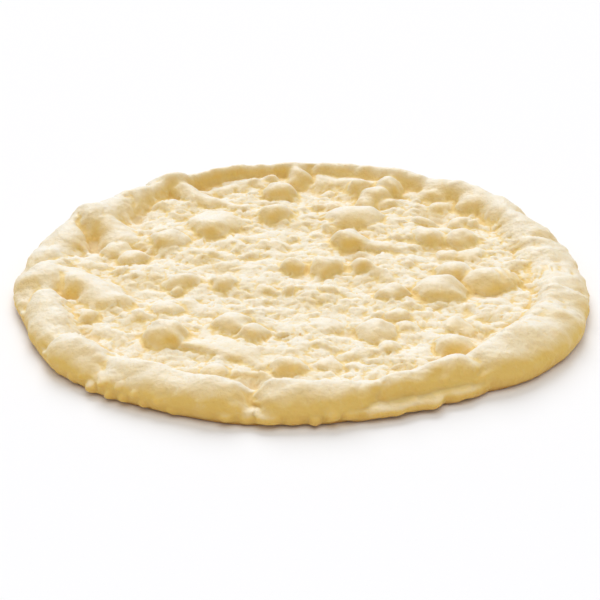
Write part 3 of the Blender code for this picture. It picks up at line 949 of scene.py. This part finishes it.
# painted shade near the foot: height it reaches, how far a surface turns down, and fade
footShade = {"height": 13 * mm, "upward": 0.55, "fade": 0.5}
# heights of the low ledge whose top is painted as lit
ledgeLevel = (5.8 * mm, 7.4 * mm)
soleWander = 2 * mm  # unevenness of the edge of the sole, toasted and darkened as painted contact shadow


def mixColour(board, share, first, second):
    made = board.node("ShaderNodeMix", {"data_type": "RGBA"}, i0=share, i6=first, i7=second)
    return board.out(made, 2)


def bakedDough():
    material = bpy.data.materials.new("baked_dough")
    material.use_nodes = True
    board = Board(material.node_tree)
    shader = material.node_tree.nodes["Principled BSDF"]
    place = board.out(board.node("ShaderNodeTexCoord"), "Object")
    low = board.out(board.node("ShaderNodeSeparateXYZ", i0=place), "Z")

    def read(name):
        return board.out(board.node("ShaderNodeAttribute", {"attribute_name": name}), "Fac")

    def noise(name):
        size, detail, roughness = mottle[name]
        return board.out(board.node("ShaderNodeTexNoise", Vector=place, Scale=1 / (size * mm),
                                    Detail=detail, Roughness=roughness))

    def tint(name, cause):
        start, end, share = tints[name]
        return board.ease(cause, start, end) * share

    def over(share, name, colour):
        return mixColour(board, share, colour, finish[name])

    taut, hollow, dip, upward = (read(name) for name in ("taut", "hollow", "dip", "upward"))
    lit, crest, wrinkle, sole = (read(name) for name in ("lit", "crest", "wrinkle", "sole"))
    blotch, fleck = noise("blotch"), noise("fleck")
    crumbly = 1 - taut

    # painted shade: gold on flanks and where the sun doesn't reach, cream elsewhere, with less gold on the rim's
    # crest
    shade = board.most((finish["shadeFrom"] - lit) * finish["shadeSlope"], 0.0)
    shade = board.least(shade, 1.0) * (1 - crest * finish["paleCrest"])
    gilded = board.most(tint("steep", 1 - upward), shade) + (blotch - 0.5) * finish["blotchSpread"]
    colour = mixColour(board, gilded, finish["cream"], finish["shadeGold"])
    # painted shade: butter in hollows, honey in deep dips, gold along wrinkles
    colour = over(tint("hollow", hollow + (fleck - 0.5) * 0.2), "butter", colour)
    colour = over(tint("dip", dip), "honey", colour)
    colour = over(tint("wrinkle", wrinkle), "shadeGold", colour)
    colour = over(tint("grain", noise("grain")), "butter", colour)
    standing = 1 - board.ease(hollow, -0.3, 0.1)
    colour = over(tint("dust", noise("dust")) * standing * crumbly, "flour", colour)

    speck = board.node("ShaderNodeTexVoronoi", {"feature": "F1"}, Vector=place, Scale=1 / (specks["spacing"] * mm))
    chance = board.out(board.node("ShaderNodeSeparateXYZ", i0=board.out(speck, "Color")))
    dot = tint("speck", specks["radius"] - board.out(speck, "Distance")) * board.ease(chance, *specks["chance"])
    colour = over(dot * crumbly, "amber", colour)

    # painted shade: honey, darker towards the foot where the surface turns downwards
    turnedUnder = board.ease(footShade["upward"] - upward, 0.0, footShade["fade"])
    colour = over(tint("foot", footShade["height"] - low) * turnedUnder, "honey", colour)
    # painted light: cream on the upward-facing top of the low ledge, which the rim above would shade
    litLedge = tint("ledge", upward) * (1 - board.ease(low, *ledgeLevel))
    colour = over(litLedge * (1 - sole), "cream", colour)
    # the sole's edge: toasted, and darker there as painted contact shadow
    start, end, share = tints["edge of the sole"]
    edge = 1 - board.ease(low + (blotch - 0.5) * soleWander, start, end)
    colour = over(edge * share, "toast", colour)
    under = mixColour(board, tint("toast", noise("toast")), finish["sole"], finish["toast"])
    board.put(shader.inputs["Base Color"], mixColour(board, sole, colour, under))

    rough = finish["roughness"] - finish["smootherWhereTaut"] * taut + finish["roughnessSpread"] * (fleck - 0.5)
    board.put(shader.inputs["Roughness"], rough)
    shader.inputs["Specular IOR Level"].default_value = finish["specular"]
    shader.inputs["Subsurface Weight"].default_value = finish["subsurface"]
    shader.inputs["Subsurface Radius"].default_value = finish["subsurfaceRadius"]
    shader.inputs["Subsurface Scale"].default_value = finish["subsurfaceScale"]

    crumbNode = board.node("ShaderNodeTexVoronoi", {"feature": "SMOOTH_F1"}, Vector=place, Scale=1 / crumbSize)
    crumbs = board.out(crumbNode, "Distance")
    fine = noise("pores") * relief["pores"] + crumbs * relief["crumbs"] + noise("creased") * relief["creased"]
    bump = board.node("ShaderNodeBump", Strength=finish["bumpStrength"], Distance=finish["bumpHeight"], Height=fine)
    board.put(shader.inputs["Normal"], board.out(bump))
    return material


points, faces, fields = doughSurface()
doughMesh = meshFrom("dough", points, faces, fields)
pizzaBase = bpy.data.objects.new("pizzaBase", doughMesh)
bpy.context.scene.collection.objects.link(pizzaBase)
print("dough formed:", len(points), "points,", len(faces), "triangles")

bakedMaterial = bakedDough()
finished = grownSkin(pizzaBase, bakedMaterial)
finished.shade_smooth()
addShading(finished)
print("skin grown:", [round(value / mm, 1) for value in pizzaBase.dimensions])

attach(pizzaBase, "root")
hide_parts("dough")


# ---- floor, light and camera


def addFloor():
    reach = 4.0
    data = bpy.data.meshes.new("floor")
    corners = [(-reach, -reach, 0), (reach, -reach, 0), (reach, reach, 0), (-reach, reach, 0)]
    data.from_pydata(corners, [], [(0, 1, 2, 3)])
    material = bpy.data.materials.new("floor_matt")
    material.use_nodes = True
    shader = material.node_tree.nodes["Principled BSDF"]
    shader.inputs["Base Color"].default_value = studio["floorColour"]
    shader.inputs["Roughness"].default_value = 0.9
    shader.inputs["Specular IOR Level"].default_value = 0.1
    data.materials.append(material)
    floor = bpy.data.objects.new("floor", data)
    bpy.context.scene.collection.objects.link(floor)


def addSun(name, colour, strength, spread, azimuth, height):
    lamp = bpy.data.lights.new(name, "SUN")
    lamp.color = colour
    lamp.energy = strength
    lamp.angle = math.radians(spread)
    sun = bpy.data.objects.new(name, lamp)
    sun.rotation_euler = (-wayTo(azimuth, height)).to_track_quat("-Z", "Y").to_euler()
    bpy.context.scene.collection.objects.link(sun)


def addLight():
    world = bpy.data.worlds.new("studio")
    bpy.context.scene.world = world
    world.use_nodes = True
    background = world.node_tree.nodes["Background"]
    background.inputs["Color"].default_value = studio["skyColour"]
    background.inputs["Strength"].default_value = studio["skyStrength"]
    for name in ("sun", "fill"):
        addSun(name, studio["sunColour"], studio[name + "Strength"], studio[name + "Spread"],
               studio[name + "Azimuth"], studio[name + "Height"])


def addCamera():
    data = bpy.data.cameras.new("camera")
    data.sensor_width = 36
    data.lens = studio["lens"]
    camera = bpy.data.objects.new("camera", data)
    camera.location = Vector(studio["eye"]) * mm
    aim = Vector(studio["aim"]) * mm
    camera.rotation_euler = (aim - camera.location).to_track_quat("-Z", "Y").to_euler()
    bpy.context.scene.collection.objects.link(camera)
    bpy.context.scene.camera = camera


addFloor()
addLight()
addCamera()
bpy.context.scene.view_settings.view_transform = "Standard"
print("floor, light and camera placed")
